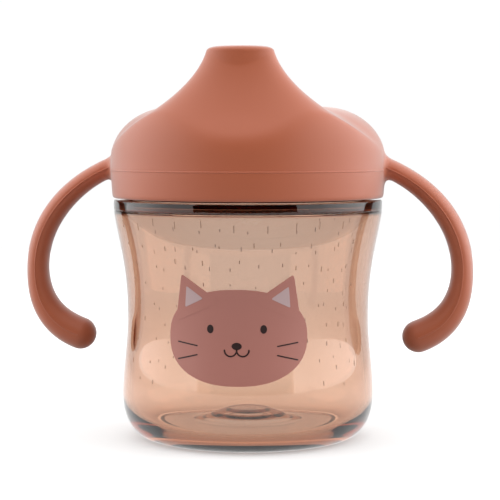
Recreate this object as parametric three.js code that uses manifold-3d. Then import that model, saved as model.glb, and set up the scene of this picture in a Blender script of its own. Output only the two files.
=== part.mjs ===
// A child's trainer cup: a clear waisted cup, a screw-on lid moulded in one piece with its
// drinking spout and two open-ended handles, a silicone seal ring and a pull-out silicone valve.
// Millimetres, +Z up. The cup's axis is Z, its foot stands on z = 0 and the spout points to -Y.

import * as THREE from 'three';
import { LoftGeometry } from 'three/addons/geometries/LoftGeometry.js';
import { mergeVertices } from 'three/addons/utils/BufferGeometryUtils.js';
import Module from 'manifold-3d';

const wasm = await Module();
wasm.setup();

// ---- driving dimensions ----

const facetsRound = 40;          // facets round the turned and lofted pieces
const curveSteps = 4;            // points on each curved stretch of a turned profile
const gap = 0.3;                 // left between touching pieces
const overshoot = 1;             // how far a cutter runs past what it cuts

const cup = {
  wall: 2.4,
  footRadius: 27.5,              // middle of the ring that the cup stands on
  footWidth: 1.4,
  footPull: 33.6,                // how far the foot runs out flat before the wall turns up
  bulgeRadius: 37.3,
  bulgeHeight: 13,
  bulgePull: 8,                  // length of the curve's pull at the bulge
  waistRadius: 35.65,
  waistLow: 36,
  waistHigh: 38,
  waistPullLow: 9,
  waistPullHigh: 12.5,
  shoulderRadius: 39.6,
  shoulderHeight: 67,
  shoulderPull: [38.9, 61.5],
  grooveDepth: 0.35,             // fine groove under the collar
  grooveWidth: 0.5,
  collarTop: 70.3,
  collarRound: 0.9,
  neckRadius: 34.6,
  boreRadius: 32.4,
  boreBottom: 71.2,              // behind the collar, the inside widens from the bore down to here:
  bellyHeight: 66.9,
  bellyPull: 0.8,
  rimHeight: 84.5,
  rimRound: 0.7,
  // The middle of the base rises as a low stepped mound: radius, height under it, height in the cup.
  mound: [[6, 5.6, 8.2], [10, 4.2, 6.9], [13, 2.4, 4.8], [16, 1.6, 3.9]],
  baseUnder: 1.4,                // height of the flat part of the base, from below
  baseRecess: 25.6,              // where that flat part ends, inside the foot
  floorHeight: 3.6,
  floorRadius: 26.4,             // where the floor starts to round up into the wall
  floorPull: [5, 3.2],           // how far that corner runs out, and how low it starts
};

const thread = {
  lead: 12,                      // rise of the lid in one turn
  starts: 2,
  rootWidth: 2.2,
  crestWidth: 1,
  arcDegrees: 140,
  cupCrestRadius: 36.2,
  lidCrestRadius: 35.1,
  cupStartHeight: 75.4,
  flankGap: 0.5,
  stepDegrees: 10,
  sink: 0.4,                     // the ridges start this far inside the wall they stand on
  fadeSteps: 2,                  // steps over which each end tapers, and the height left at the end
  endHeight: 0.075,
};

const lid = {
  bottom: 70.9,
  bottomRadius: 39.4,
  radius: 40.4,
  widestHeight: 79,
  innerRadius: 36.7,
  skin: 2.2,
  domeFoot: 82,                  // where the wall starts to round over into the roof
  domeRise: 15.5,
  domeFlatRadius: 22,
  frontFoot: 84,                 // the same start below the spout, where the wall stays steep
  frontCurve: 0.0075,            // how fast the steep front wall leans back
  fillet: 3.5,                   // softening where spout and dome meet
  frontRound: 8,                 // softening where spout and front wall meet
  slotTop: 88,
  skirtOuter: 31.9,
  skirtInner: 30.2,
  skirtBottom: 82.5,
};

const spout = {
  y: -25,
  tipHeight: 112.7,              // where the top edge starts to round over
  crown: 1.4,                    // rise of the rounded top over that
  tipHalfWidth: 9.52,
  depthRatio: 1.7,               // width of the spout over its depth
  frontSteepness: 0.06,          // the ratio grows by this per mm in front of the spout's middle
  flareLinear: 0.307,            // the half-width grows by a parabola going down
  flareSquare: 0.0355,
  hollowTop: 105,
  hollowSkin: 2.6,
  holeRadius: 0.9,
  holeSpacing: 4.6,
};

const sockets = {
  bottom: 86,
  drinkY: -20,
  drinkInner: 6.5,
  drinkOuter: 8.3,
  ductTopHalfWidth: 6.8,
  ductTopHalfDepth: 3.4,
  socketTop: 93,
  ductTop: 111.4,
  ventY: 10,
  ventInner: 4,
  ventOuter: 5.6,
  ventTop: 94,
  ventRoof: 2,                   // how far the vent's tube runs on above its bore
  ventHoleRadius: 0.6,
};

const handle = {
  root: [39, 80.2],              // centre line in the XZ plane: root, outermost point, tip
  rootPull: [48, 77.6],
  outerPullHigh: [63.1, 67],
  outer: [63.1, 49.5],
  outerPullLow: [63.1, 40],
  tipPull: [59, 33.2],
  tip: [50.4, 30],
  // Half thickness in the plane of the C, and half depth across it: at the root, what the root's
  // flare adds, what the arm gains by armEnd of its length, and what the grip adds from gripStart on.
  slim: [2.8, 4.5],
  rootFlare: [0.8, 1.2],
  rootFade: 0.03,
  arm: [0.4, 0.4],
  armEnd: 0.4,
  grip: [1.55, 0.5],
  gripStart: 0.6,
  tipTurns: [25, 50, 70, 84],    // degrees of the rounded end's sections
  sections: 20,
  sides: 12,
};

const seal = {
  innerRadius: 32.3,
  outerRadius: 36.3,
  corner: 0.5,
};

const valve = {
  thickness: 1.6,
  bridgeHalfWidth: 4,
  drinkBore: 4.6,
  drinkTop: 92,
  ventBore: 2.3,
  ventTop: 90.4,
  tabEnd: 24,
  tabCurve: 8,                   // facets round the pull tab's end
  lipCurve: 12,
  flapFacets: 16,
  lipThickness: 0.8,
  lipHeight: 90.4,
  flapHeight: 88,
};

const rings = {
  cap: [[3, 1], [7, 0.9], [8.5, 0.65], [9.3, 0.28]],        // half-width, share of the crown
  roof: 15,
  roofSpread: 1.6,
  wall: [[79, 40.4], [75.5, 40.25], [72.1, 40.02], [71.2, 39.8]],   // height, radius
};

// ---- helpers ----

const degrees = THREE.MathUtils.degToRad;

function solidOf(geometry) {
  const bare = new THREE.BufferGeometry().copy(geometry);
  bare.deleteAttribute('normal');
  bare.deleteAttribute('uv');
  const merged = mergeVertices(bare, 1e-4);
  return new wasm.Manifold(new wasm.Mesh({
    numProp: 3,
    vertProperties: new Float32Array(merged.attributes.position.array),
    triVerts: new Uint32Array(merged.index.array),
  }));
}

function geometryOf(solid) {
  const mesh = solid.getMesh();
  const geometry = new THREE.BufferGeometry();
  geometry.setAttribute('position', new THREE.BufferAttribute(mesh.vertProperties, 3));
  geometry.setIndex(new THREE.BufferAttribute(mesh.triVerts, 1));
  geometry.computeVertexNormals();
  return geometry;
}

// A profile of (radius, height) turned about the Z axis.
function turned(profile, facets = facetsRound) {
  const geometry = new THREE.LatheGeometry(profile.getPoints(curveSteps), facets);
  return solidOf(geometry.rotateX(Math.PI / 2));
}

// A plain disc or ring from radius inner to outer between two heights.
function turnedRing(inner, outer, low, high, facets = facetsRound) {
  const profile = new THREE.Path();
  profile.moveTo(inner, low);
  profile.lineTo(outer, low);
  profile.lineTo(outer, high);
  profile.lineTo(inner, high);
  if (inner > 0) profile.lineTo(inner, low);
  return turned(profile, facets);
}

// One elliptical section of a loft, with its own height at every point.
function ellipse(halfWidth, front, rear, heightAt, facets = facetsRound) {
  const middle = (front + rear) / 2;
  const halfDepth = (rear - front) / 2;
  const points = [];
  for (let i = 0; i < facets; i++) {
    const angle = 2 * Math.PI * i / facets;
    const x = halfWidth * Math.cos(angle);
    const y = middle + halfDepth * Math.sin(angle);
    points.push(new THREE.Vector3(x, y, heightAt(x, y)));
  }
  return points;
}

function lofted(sections) {
  return solidOf(new LoftGeometry(sections, { capStart: true, capEnd: true }));
}

function smoothMin(a, b, width) {
  const share = Math.max(width - Math.abs(a - b), 0) / width;
  return Math.min(a, b) - share * share * width / 4;
}

function smoothMax(a, b, width) {
  return -smoothMin(-a, -b, width);
}

// ---- cup ----

function cupProfile() {
  const foot = cup.footWidth / 2;
  const inside = (radius) => radius - cup.wall;
  const path = new THREE.Path();
  path.moveTo(0, cup.mound[0][1]);
  for (const [radius, under] of cup.mound) path.lineTo(radius, under);
  path.lineTo(cup.baseRecess, cup.baseUnder);
  path.lineTo(cup.footRadius - foot, 0);
  path.lineTo(cup.footRadius + foot, 0);
  path.bezierCurveTo(
    cup.footPull, 0, cup.bulgeRadius, cup.bulgeHeight - cup.bulgePull,
    cup.bulgeRadius, cup.bulgeHeight);
  path.bezierCurveTo(
    cup.bulgeRadius, cup.bulgeHeight + cup.bulgePull, cup.waistRadius, cup.waistLow - cup.waistPullLow,
    cup.waistRadius, cup.waistLow);
  path.lineTo(cup.waistRadius, cup.waistHigh);
  path.bezierCurveTo(
    cup.waistRadius, cup.waistHigh + cup.waistPullHigh, ...cup.shoulderPull,
    cup.shoulderRadius, cup.shoulderHeight);
  path.lineTo(cup.shoulderRadius - cup.grooveDepth, cup.shoulderHeight + cup.grooveWidth / 2);
  path.lineTo(cup.shoulderRadius, cup.shoulderHeight + cup.grooveWidth);
  path.lineTo(cup.shoulderRadius, cup.collarTop - cup.collarRound);
  path.quadraticCurveTo(
    cup.shoulderRadius, cup.collarTop, cup.shoulderRadius - cup.collarRound, cup.collarTop);
  path.lineTo(cup.neckRadius, cup.collarTop);
  path.lineTo(cup.neckRadius, cup.rimHeight - cup.rimRound);
  path.quadraticCurveTo(
    cup.neckRadius, cup.rimHeight, cup.neckRadius - cup.rimRound, cup.rimHeight);
  path.lineTo(cup.boreRadius + cup.rimRound, cup.rimHeight);
  path.quadraticCurveTo(
    cup.boreRadius, cup.rimHeight, cup.boreRadius, cup.rimHeight - cup.rimRound);
  path.lineTo(cup.boreRadius, cup.boreBottom);
  path.bezierCurveTo(
    cup.boreRadius, cup.boreBottom - cup.bellyPull,
    inside(cup.shoulderRadius), cup.bellyHeight + cup.bellyPull,
    inside(cup.shoulderRadius), cup.bellyHeight);
  path.bezierCurveTo(
    inside(cup.shoulderPull[0]), cup.shoulderPull[1],
    inside(cup.waistRadius), cup.waistHigh + cup.waistPullHigh,
    inside(cup.waistRadius), cup.waistHigh);
  path.lineTo(inside(cup.waistRadius), cup.waistLow);
  path.bezierCurveTo(
    inside(cup.waistRadius), cup.waistLow - cup.waistPullLow,
    inside(cup.bulgeRadius), cup.bulgeHeight + cup.bulgePull,
    inside(cup.bulgeRadius), cup.bulgeHeight);
  path.bezierCurveTo(
    inside(cup.bulgeRadius), cup.floorHeight + cup.floorPull[1],
    cup.floorRadius + cup.floorPull[0], cup.floorHeight,
    cup.floorRadius, cup.floorHeight);
  for (const [radius, , above] of [...cup.mound].reverse()) path.lineTo(radius, above);
  path.lineTo(0, cup.mound[0][2]);
  return path;
}

// Helical ridges that stand from rootRadius to crestRadius, tapering away at both ends.
function threadRidges(rootRadius, crestRadius, startHeight) {
  const ridges = [];
  const steps = thread.arcDegrees / thread.stepDegrees;
  const halfRoot = thread.rootWidth / 2;
  const halfCrest = thread.crestWidth / 2;
  for (let start = 0; start < thread.starts; start++) {
    const sections = [];
    for (let step = 0; step <= steps; step++) {
      const turn = degrees(step * thread.stepDegrees);
      const angle = turn + 2 * Math.PI * start / thread.starts;
      const z = startHeight + thread.lead * turn / (2 * Math.PI);
      const taper = Math.min(1, thread.endHeight + Math.min(step, steps - step) / thread.fadeSteps);
      const crest = rootRadius + (crestRadius - rootRadius) * taper;
      const corners = [[rootRadius, -halfRoot], [crest, -halfCrest], [crest, halfCrest],
        [rootRadius, halfRoot]];
      if (crestRadius > rootRadius) corners.reverse();
      sections.push(corners.map(([radius, lift]) => new THREE.Vector3(
        radius * Math.cos(angle), radius * Math.sin(angle), z + lift)));
    }
    ridges.push(lofted(sections));
  }
  return ridges.reduce((joined, ridge) => joined.add(ridge));
}

function buildCup() {
  const ridges = threadRidges(
    cup.neckRadius - thread.sink, thread.cupCrestRadius, thread.cupStartHeight);
  return turned(cupProfile()).add(ridges);
}

// ---- lid ----

// Height of the cone-like spout at a horizontal distance from its middle.
function spoutHeight(x, y, inset) {
  const forward = Math.max(0, spout.y - y);
  const ratio = spout.depthRatio + spout.frontSteepness * forward;
  const reach = Math.hypot(x, ratio * (y - spout.y));
  const spare = Math.max(0, reach - spout.tipHalfWidth + inset);
  const root = Math.sqrt(spout.flareLinear ** 2 + 4 * spout.flareSquare * spare);
  return spout.tipHeight - (root - spout.flareLinear) / (2 * spout.flareSquare);
}

function roofHeight(x, y, inset) {
  const radius = Math.hypot(x, y);
  const shoulder = lid.radius - inset - lid.domeFlatRadius;
  const out = Math.min(1, Math.max(0, radius - lid.domeFlatRadius) / shoulder);
  const dome = lid.domeFoot + (lid.domeRise - inset) * Math.sqrt(1 - out * out);
  const lean = Math.max(0, lid.radius - inset - radius) / lid.frontCurve;
  const front = lid.frontFoot - inset + Math.sqrt(lean);
  const flank = smoothMin(spoutHeight(x, y, inset), front, lid.frontRound);
  return smoothMax(dome, flank, lid.fillet);
}

// Rings of the roof from the wall's circle in to the spout's tip.
function roofSections(inset, tipHalfWidth) {
  const outside = lid.radius - inset;
  const tipDepth = tipHalfWidth / spout.depthRatio;
  const heightAt = (x, y) => roofHeight(x, y, inset);
  const sections = [];
  for (let ring = rings.roof; ring >= 0; ring--) {
    const share = (ring / rings.roof) ** rings.roofSpread;
    const spread = 1 - (1 - share) ** 2;
    const between = THREE.MathUtils.lerp;
    sections.push(ellipse(
      between(tipHalfWidth, outside, spread),
      between(spout.y - tipDepth, -outside, spread),
      between(spout.y + tipDepth, outside, spread),
      heightAt));
  }
  return sections;
}

function lidOutside() {
  const sections = [ellipse(
    lid.bottomRadius, -lid.bottomRadius, lid.bottomRadius, () => lid.bottom)];
  for (const [z, radius] of [...rings.wall].reverse()) {
    sections.push(ellipse(radius, -radius, radius, () => z));
  }
  sections.push(...roofSections(0, spout.tipHalfWidth));
  for (const [halfWidth, rise] of [...rings.cap].reverse()) {
    const depth = halfWidth / spout.depthRatio;
    const z = spout.tipHeight + spout.crown * rise;
    sections.push(ellipse(halfWidth, spout.y - depth, spout.y + depth, () => z));
  }
  return lofted(sections);
}

// The hollow under the roof, kept a skin's thickness inside it.
function lidHollow() {
  const floor = lid.slotTop + lid.skin;
  const radius = lid.radius - lid.skin;
  const tip = spout.tipHalfWidth + spout.hollowSkin;
  const sections = [ellipse(radius, -radius, radius, () => lid.widestHeight)];
  sections.push(...roofSections(lid.skin, tip));
  const hollow = lofted(sections);
  const above = turnedRing(0, lid.radius, floor, spout.hollowTop);
  return hollow.intersect(above);
}

function handlePoint([x, z]) {
  return new THREE.Vector3(x, 0, z);
}

function handleCentreLine() {
  const path = new THREE.CurvePath();
  path.add(new THREE.CubicBezierCurve3(
    ...[handle.root, handle.rootPull, handle.outerPullHigh, handle.outer].map(handlePoint)));
  path.add(new THREE.CubicBezierCurve3(
    ...[handle.outer, handle.outerPullLow, handle.tipPull, handle.tip].map(handlePoint)));
  return path;
}

// Half thickness and half depth of the handle, from root (0) to tip (1).
function handleSize(along) {
  const root = Math.exp(-along / handle.rootFade);
  const arm = THREE.MathUtils.smoothstep(along, 0, handle.armEnd);
  const grip = THREE.MathUtils.smoothstep(along, handle.gripStart, 1);
  return handle.slim.map((size, i) => size + handle.rootFlare[i] * root
    + handle.arm[i] * arm + handle.grip[i] * grip);
}

function handleSolid() {
  const line = handleCentreLine();
  const sections = [];
  const addSection = (along, scale, push) => {
    const centre = line.getPointAt(along);
    const tangent = line.getTangentAt(along);
    const across = new THREE.Vector3(tangent.z, 0, -tangent.x);
    const [halfThick, halfDeep] = handleSize(along);
    const points = [];
    for (let side = 0; side < handle.sides; side++) {
      const angle = 2 * Math.PI * side / handle.sides;
      points.push(centre.clone()
        .addScaledVector(tangent, push)
        .addScaledVector(across, halfThick * scale * Math.cos(angle))
        .addScaledVector(new THREE.Vector3(0, 1, 0), halfDeep * scale * Math.sin(angle)));
    }
    sections.push(points);
  };
  for (let step = 0; step <= handle.sections; step++) {
    addSection(step / handle.sections, 1, 0);
  }
  const [tipThick] = handleSize(1);
  for (const turn of handle.tipTurns) {
    addSection(1, Math.cos(degrees(turn)), tipThick * Math.sin(degrees(turn)));
  }
  return lofted(sections);
}

// Tube that rises round from the socket and then tapers to an oval under the spout's holes.
function spoutDuct(radius, margin) {
  const between = THREE.MathUtils.lerp;
  const section = (share, z) => {
    const halfWidth = between(radius, sockets.ductTopHalfWidth + margin, share);
    const halfDepth = between(radius, sockets.ductTopHalfDepth + margin, share);
    const y = between(sockets.drinkY, spout.y, share);
    return ellipse(halfWidth, y - halfDepth, y + halfDepth, () => z, facetsRound / 2);
  };
  return lofted([
    section(0, sockets.bottom),
    section(0, sockets.socketTop),
    section(0.5, between(sockets.socketTop, sockets.ductTop, 0.5)),
    section(1, sockets.ductTop),
  ]);
}

function buildLid() {
  const rightHandle = handleSolid();
  const leftHandle = rightHandle.rotate([0, 0, 180]);
  const below = lid.bottom - overshoot;
  const facets = facetsRound / 2;
  const wallWidth = sockets.drinkOuter - sockets.drinkInner;
  const ventTube = turnedRing(0, sockets.ventOuter, sockets.bottom, sockets.ventTop + sockets.ventRoof, facets)
    .translate([0, sockets.ventY, 0]);
  const ventBore = turnedRing(
    0, sockets.ventInner, sockets.bottom - overshoot, sockets.ventTop, facets)
    .translate([0, sockets.ventY, 0]);
  const ventHole = turnedRing(
    0, sockets.ventHoleRadius, sockets.ventTop - overshoot, spout.hollowTop, facets / 2)
    .translate([0, sockets.ventY, 0]);
  const body = lidOutside().add(leftHandle).add(rightHandle)
    .subtract(turnedRing(0, lid.innerRadius, below, lid.skirtBottom))
    .subtract(turnedRing(lid.skirtOuter, lid.innerRadius, below, lid.slotTop))
    .subtract(turnedRing(0, lid.skirtInner, below, lid.slotTop + lid.skin + overshoot))
    .subtract(lidHollow());
  const inner = spoutDuct(sockets.drinkInner, 0);
  const outer = spoutDuct(sockets.drinkOuter, wallWidth);
  const mouth = turnedRing(
    0, sockets.drinkInner, sockets.bottom - overshoot, sockets.bottom + gap, facets)
    .translate([0, sockets.drinkY, 0]);
  const ridges = threadRidges(lid.innerRadius + gap, thread.lidCrestRadius,
    thread.cupStartHeight - thread.rootWidth - thread.flankGap);
  let whole = body.add(outer).add(ventTube).add(ridges)
    .subtract(inner).subtract(mouth).subtract(ventBore).subtract(ventHole);
  for (const place of [-1, 0, 1]) {
    const hole = turnedRing(
      0, spout.holeRadius, sockets.ductTop - overshoot, spout.tipHeight + spout.crown + overshoot,
      facets / 2);
    whole = whole.subtract(hole.translate([place * spout.holeSpacing, spout.y, 0]));
  }
  return whole;
}

// ---- seal and valve ----

function buildSeal() {
  const low = cup.rimHeight + gap;
  const high = lid.slotTop - gap;
  const corner = seal.corner;
  const path = new THREE.Path();
  path.moveTo(seal.innerRadius + corner, low);
  path.lineTo(seal.outerRadius - corner, low);
  path.lineTo(seal.outerRadius, low + corner);
  path.lineTo(seal.outerRadius, high - corner);
  path.lineTo(seal.outerRadius - corner, high);
  path.lineTo(seal.innerRadius + corner, high);
  path.lineTo(seal.innerRadius, high - corner);
  path.lineTo(seal.innerRadius, low + corner);
  path.lineTo(seal.innerRadius + corner, low);
  return turned(path);
}

// Flat strip that joins the two plugs and ends in the pull tab.
function valveStrip(low) {
  const half = valve.bridgeHalfWidth;
  const shape = new THREE.Shape();
  shape.moveTo(-half, sockets.drinkY);
  shape.lineTo(half, sockets.drinkY);
  shape.lineTo(half, valve.tabEnd - half);
  shape.absarc(0, valve.tabEnd - half, half, 0, Math.PI, false);
  shape.lineTo(-half, sockets.drinkY);
  const geometry = new THREE.ExtrudeGeometry(
    shape, { depth: valve.thickness, bevelEnabled: false, curveSegments: valve.tabCurve });
  return solidOf(geometry.translate(0, 0, low));
}

function buildValve() {
  const facets = facetsRound / 2;
  const top = sockets.bottom - gap;
  const low = top - valve.thickness;
  const place = (solid, y) => solid.translate([0, y, 0]);
  const disc = (radius, from, to) => turnedRing(0, radius, from, to, facets);
  const drinkPlug = disc(sockets.drinkInner - gap, low, valve.drinkTop);
  const ventPlug = disc(sockets.ventInner - gap, low, valve.ventTop);
  const drinkFlange = disc(sockets.drinkOuter, low, top);
  const ventFlange = disc(sockets.ventOuter, low, top);
  const drinkBore = disc(valve.drinkBore, low - overshoot, valve.drinkTop + overshoot);
  const ventBore = disc(valve.ventBore, low - overshoot, valve.ventTop + overshoot);
  return valveStrip(low)
    .add(place(drinkFlange, sockets.drinkY))
    .add(place(drinkPlug, sockets.drinkY))
    .add(place(ventFlange, sockets.ventY))
    .add(place(ventPlug, sockets.ventY))
    .subtract(place(drinkBore, sockets.drinkY))
    .subtract(place(ventBore, sockets.ventY));
}

// Half of the slit membrane across the drinking plug; side is -1 or 1.
function buildLip(side) {
  const radius = valve.drinkBore - gap;
  const slit = gap / 2;
  const reach = Math.acos(slit / radius);
  const shape = new THREE.Shape();
  shape.absarc(0, 0, radius, -reach, reach, false);
  shape.closePath();
  const geometry = new THREE.ExtrudeGeometry(
    shape, { depth: valve.lipThickness, bevelEnabled: false, curveSegments: valve.lipCurve });
  if (side < 0) geometry.rotateZ(Math.PI);
  return solidOf(geometry.translate(0, sockets.drinkY, valve.lipHeight));
}

function buildVentFlap() {
  const disc = turnedRing(
    0, valve.ventBore - gap, valve.flapHeight, valve.flapHeight + valve.lipThickness,
    valve.flapFacets);
  return disc.translate([0, sockets.ventY, 0]);
}

// ---- materials and assembly ----

function material(color, roughness, extra = {}) {
  return new THREE.MeshStandardMaterial({ color, roughness, metalness: 0, ...extra });
}

const clearPlastic = material('#c98f6e', 0.06, { transparent: true, opacity: 0.45 });
const lidPlastic = material('#b4664b', 0.55);
const sealSilicone = material('#d9cfc4', 0.6);
const valveSilicone = material('#e4ddd2', 0.5, { transparent: true, opacity: 0.85 });

const sippyCup = new THREE.Group();

function addPart(name, solid, surface) {
  const mesh = new THREE.Mesh(geometryOf(solid), surface.clone());
  mesh.name = name;
  sippyCup.add(mesh);
}

addPart('cup_body', buildCup(), clearPlastic);
addPart('lid', buildLid(), lidPlastic);
addPart('seal_ring', buildSeal(), sealSilicone);
addPart('valve_body', buildValve(), valveSilicone);
addPart('drink_lip_left', buildLip(-1), valveSilicone);
addPart('drink_lip_right', buildLip(1), valveSilicone);
addPart('vent_flap', buildVentFlap(), valveSilicone);

export default sippyCup;
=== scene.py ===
import math
import random

import bmesh
import bpy
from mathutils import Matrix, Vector


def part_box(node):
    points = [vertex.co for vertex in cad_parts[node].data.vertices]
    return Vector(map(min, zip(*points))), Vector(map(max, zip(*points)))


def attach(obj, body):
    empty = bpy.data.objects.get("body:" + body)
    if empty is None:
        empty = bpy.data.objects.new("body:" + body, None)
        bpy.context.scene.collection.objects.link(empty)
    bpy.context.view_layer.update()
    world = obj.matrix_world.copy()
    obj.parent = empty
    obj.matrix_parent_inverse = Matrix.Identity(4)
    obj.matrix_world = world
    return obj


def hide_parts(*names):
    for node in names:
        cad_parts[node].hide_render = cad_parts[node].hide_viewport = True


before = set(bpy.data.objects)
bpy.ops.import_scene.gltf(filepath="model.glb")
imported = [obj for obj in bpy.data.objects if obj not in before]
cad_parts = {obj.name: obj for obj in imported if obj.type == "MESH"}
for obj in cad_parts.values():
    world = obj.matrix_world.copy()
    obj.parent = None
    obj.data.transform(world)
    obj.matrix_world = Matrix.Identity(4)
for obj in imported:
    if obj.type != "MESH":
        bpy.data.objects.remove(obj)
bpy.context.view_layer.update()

# A child's sippy cup: clear waisted cup, one-piece terracotta lid with spout and two handles,
# silicone seal and valve inside the lid. Shapes below are in millimetres and become metres in
# makeMesh.

mm = 0.001


def nodeBox(node):
    low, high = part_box(node)
    return [c / mm for c in low], [c / mm for c in high]


cupHigh = nodeBox("cup_body")[1]
sealLow, sealHigh = nodeBox("seal_ring")
valveLow, valveHigh = nodeBox("valve_body")


def around(count):
    return [2 * math.pi * i / count for i in range(count)]


def polar(radius, angle):
    return radius * math.cos(angle), radius * math.sin(angle)


def bezier(a, b, c, d, steps):
    # points of a cubic curve, without its first point
    points = []
    for i in range(1, steps + 1):
        t = i / steps
        s = 1 - t
        shares = (s ** 3, 3 * s * s * t, 3 * s * t * t, t ** 3)
        points.append(tuple(sum(w * v for w, v in zip(shares, corners)) for corners in zip(a, b, c, d)))
    return points


def roundCorner(before, corner, after, radius, steps=5):
    # swaps a sharp corner of an outline for a small curve
    def towards(end):
        reach = math.hypot(end[0] - corner[0], end[1] - corner[1])
        share = min(radius / reach, 0.5)
        return tuple(c + (e - c) * share for c, e in zip(corner, end))
    first, last = towards(before), towards(after)
    return [first] + bezier(first, corner, corner, last, steps)


def roundedOutline(points, radius, closed=True):
    outline = []
    count = len(points)
    for i, point in enumerate(points):
        if not closed and i in (0, count - 1):
            outline.append(point)
            continue
        outline += roundCorner(points[i - 1], point, points[(i + 1) % count], radius)
    return outline


def shadeSmooth(mesh, sharpAngle):
    mesh.shade_smooth()
    mesh.set_sharp_from_angle(angle=math.radians(sharpAngle))


def makeMesh(name, verts, faces):
    mesh = bpy.data.meshes.new(name)
    mesh.from_pydata([[c * mm for c in v] for v in verts], [], faces)
    mesh.validate()
    mesh.update()
    obj = bpy.data.objects.new(name, mesh)
    bpy.context.scene.collection.objects.link(obj)
    return obj


def finishPiece(obj, body, material, replaced=(), sharpAngle=40):
    obj.data.materials.clear()
    obj.data.materials.append(material)
    shadeSmooth(obj.data, sharpAngle)
    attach(obj, body)
    for node in replaced:
        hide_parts(node)
    return obj


def spinVerts(profile, facets, centre=(0, 0)):
    # turns an outline of (radius, height) about a vertical axis; it closes on the axis or on itself
    verts, rows = [], []
    for radius, z in profile:
        if radius < 1e-6:
            verts.append((centre[0], centre[1], z))
            rows.append([len(verts) - 1] * facets)
            continue
        rows.append(range(len(verts), len(verts) + facets))
        for angle in around(facets):
            x, y = polar(radius, angle)
            verts.append((centre[0] + x, centre[1] + y, z))
    return verts, rows


def stitch(rows, closedUp):
    faces = []
    pairs = list(zip(rows, rows[1:]))
    if closedUp:
        pairs.append((rows[-1], rows[0]))
    for low, high in pairs:
        for i in range(len(low)):
            j = (i + 1) % len(low)
            face = []
            for index in (low[i], low[j], high[j], high[i]):
                if index not in face:
                    face.append(index)
            if len(face) > 2:
                faces.append(face)
    return faces


def spin(name, profile, facets, centre=(0, 0)):
    verts, rows = spinVerts(profile, facets, centre)
    onAxis = profile[0][0] < 1e-6
    return makeMesh(name, verts, stitch(rows, not onAxis))


def loft(name, rings):
    verts, rows = [], []
    for ring in rings:
        rows.append(range(len(verts), len(verts) + len(ring)))
        verts += ring
    faces = stitch(rows, False)
    faces.append(list(reversed(rows[0])))
    faces.append(list(rows[-1]))
    return makeMesh(name, verts, faces)


def applyModifiers(obj):
    graph = bpy.context.evaluated_depsgraph_get()
    mesh = bpy.data.meshes.new_from_object(obj.evaluated_get(graph))
    old = obj.data
    obj.modifiers.clear()
    obj.data = mesh
    bpy.data.meshes.remove(old)


def boolean(obj, other, operation):
    cut = obj.modifiers.new("cut", "BOOLEAN")
    cut.operation = operation
    cut.solver = "EXACT"
    cut.object = other
    applyModifiers(obj)
    bpy.data.objects.remove(other)


def joinInto(obj, others, turnOutward=False):
    # puts the faces of other objects into one mesh as separate shells
    bm = bmesh.new()
    bm.from_mesh(obj.data)
    for other in others:
        bm.from_mesh(other.data)
        bpy.data.objects.remove(other)
    if turnOutward:
        bmesh.ops.recalc_face_normals(bm, faces=bm.faces)
    bm.to_mesh(obj.data)
    bm.free()


def smoothStep(a, b, x):
    t = min(1, max(0, (x - a) / (b - a)))
    return t * t * (3 - 2 * t)


def smoothMin(a, b, width):
    share = max(width - abs(a - b), 0) / width
    return min(a, b) - share * share * width / 4


def smoothMax(a, b, width):
    return -smoothMin(-a, -b, width)


def lerp(a, b, t):
    return a + (b - a) * t


def setInputs(node, values):
    for socket, value in values.items():
        node.inputs[socket].default_value = value


def addNode(tree, kind, values=None, **settings):
    node = tree.nodes.new(kind)
    for name, value in settings.items():
        setattr(node, name, value)
    setInputs(node, values or {})
    return node


def connect(tree, *links):
    for source, output, target, socket in links:
        tree.links.new(source.outputs[output], target.inputs[socket])


def newMaterial(name):
    material = bpy.data.materials.new(name)
    material.use_nodes = True
    tree = material.node_tree
    tree.nodes.clear()
    output = addNode(tree, "ShaderNodeOutputMaterial")
    shader = addNode(tree, "ShaderNodeBsdfPrincipled")
    connect(tree, (shader, "BSDF", output, "Surface"))
    return material, tree, shader, output


def groupSocket(tree, name, kind, isInput, value=None):
    direction = "INPUT" if isInput else "OUTPUT"
    socket = tree.interface.new_socket(name=name, in_out=direction, socket_type=kind)
    if value is not None:
        socket.default_value = value


grainShape = {
    "fineDetail": 3,
    "bumpDepth": 0.00004,      # metres
    "patchSize": 38,           # scale of the slow drift in colour and roughness
    "patchDetail": 2,
}


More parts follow.
